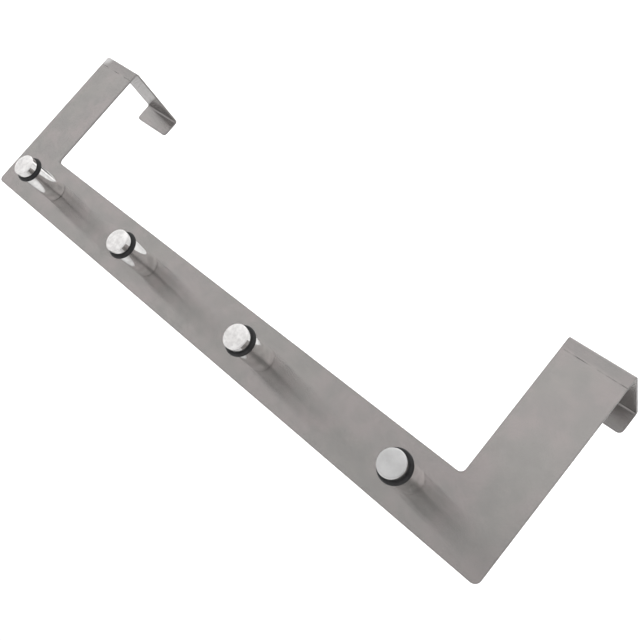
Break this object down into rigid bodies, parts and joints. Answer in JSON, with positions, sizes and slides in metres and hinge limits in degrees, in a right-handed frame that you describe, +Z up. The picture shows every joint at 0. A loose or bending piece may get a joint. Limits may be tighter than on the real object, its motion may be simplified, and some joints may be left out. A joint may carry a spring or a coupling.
{
  "type": "over door hook",
  "caption": "Folded stainless steel rail with a hook over the door at each end and a row of turned coat pegs, each ringed with black rubber near its tip.",
  "frame": {"origin": "on the back of the rail, which lies against the door, half way along the rail and level with the axes of the pegs", "axes": "+X along the rail, to the right as seen from the room; +Y from the room towards the door; +Z up"},
  "size_m": [0.36, 0.076, 0.1],
  "materials": {
    "satin_steel": "satin stainless steel sheet, finely brushed",
    "turned_steel": "turned and polished stainless steel with fine tool marks on the end face",
    "black_rubber": "moulded black rubber, half matt",
    "screw_steel": "plain stainless steel screws"
  },
  "bodies": {
    "root": {"hook_plate": "satin_steel", "peg_1": "turned_steel", "peg_2": "turned_steel", "peg_3": "turned_steel", "peg_4": "turned_steel", "rubber_ring_1": "black_rubber", "rubber_ring_2": "black_rubber", "rubber_ring_3": "black_rubber", "rubber_ring_4": "black_rubber", "peg_screws": "screw_steel"}
  },
  "joints": []
}
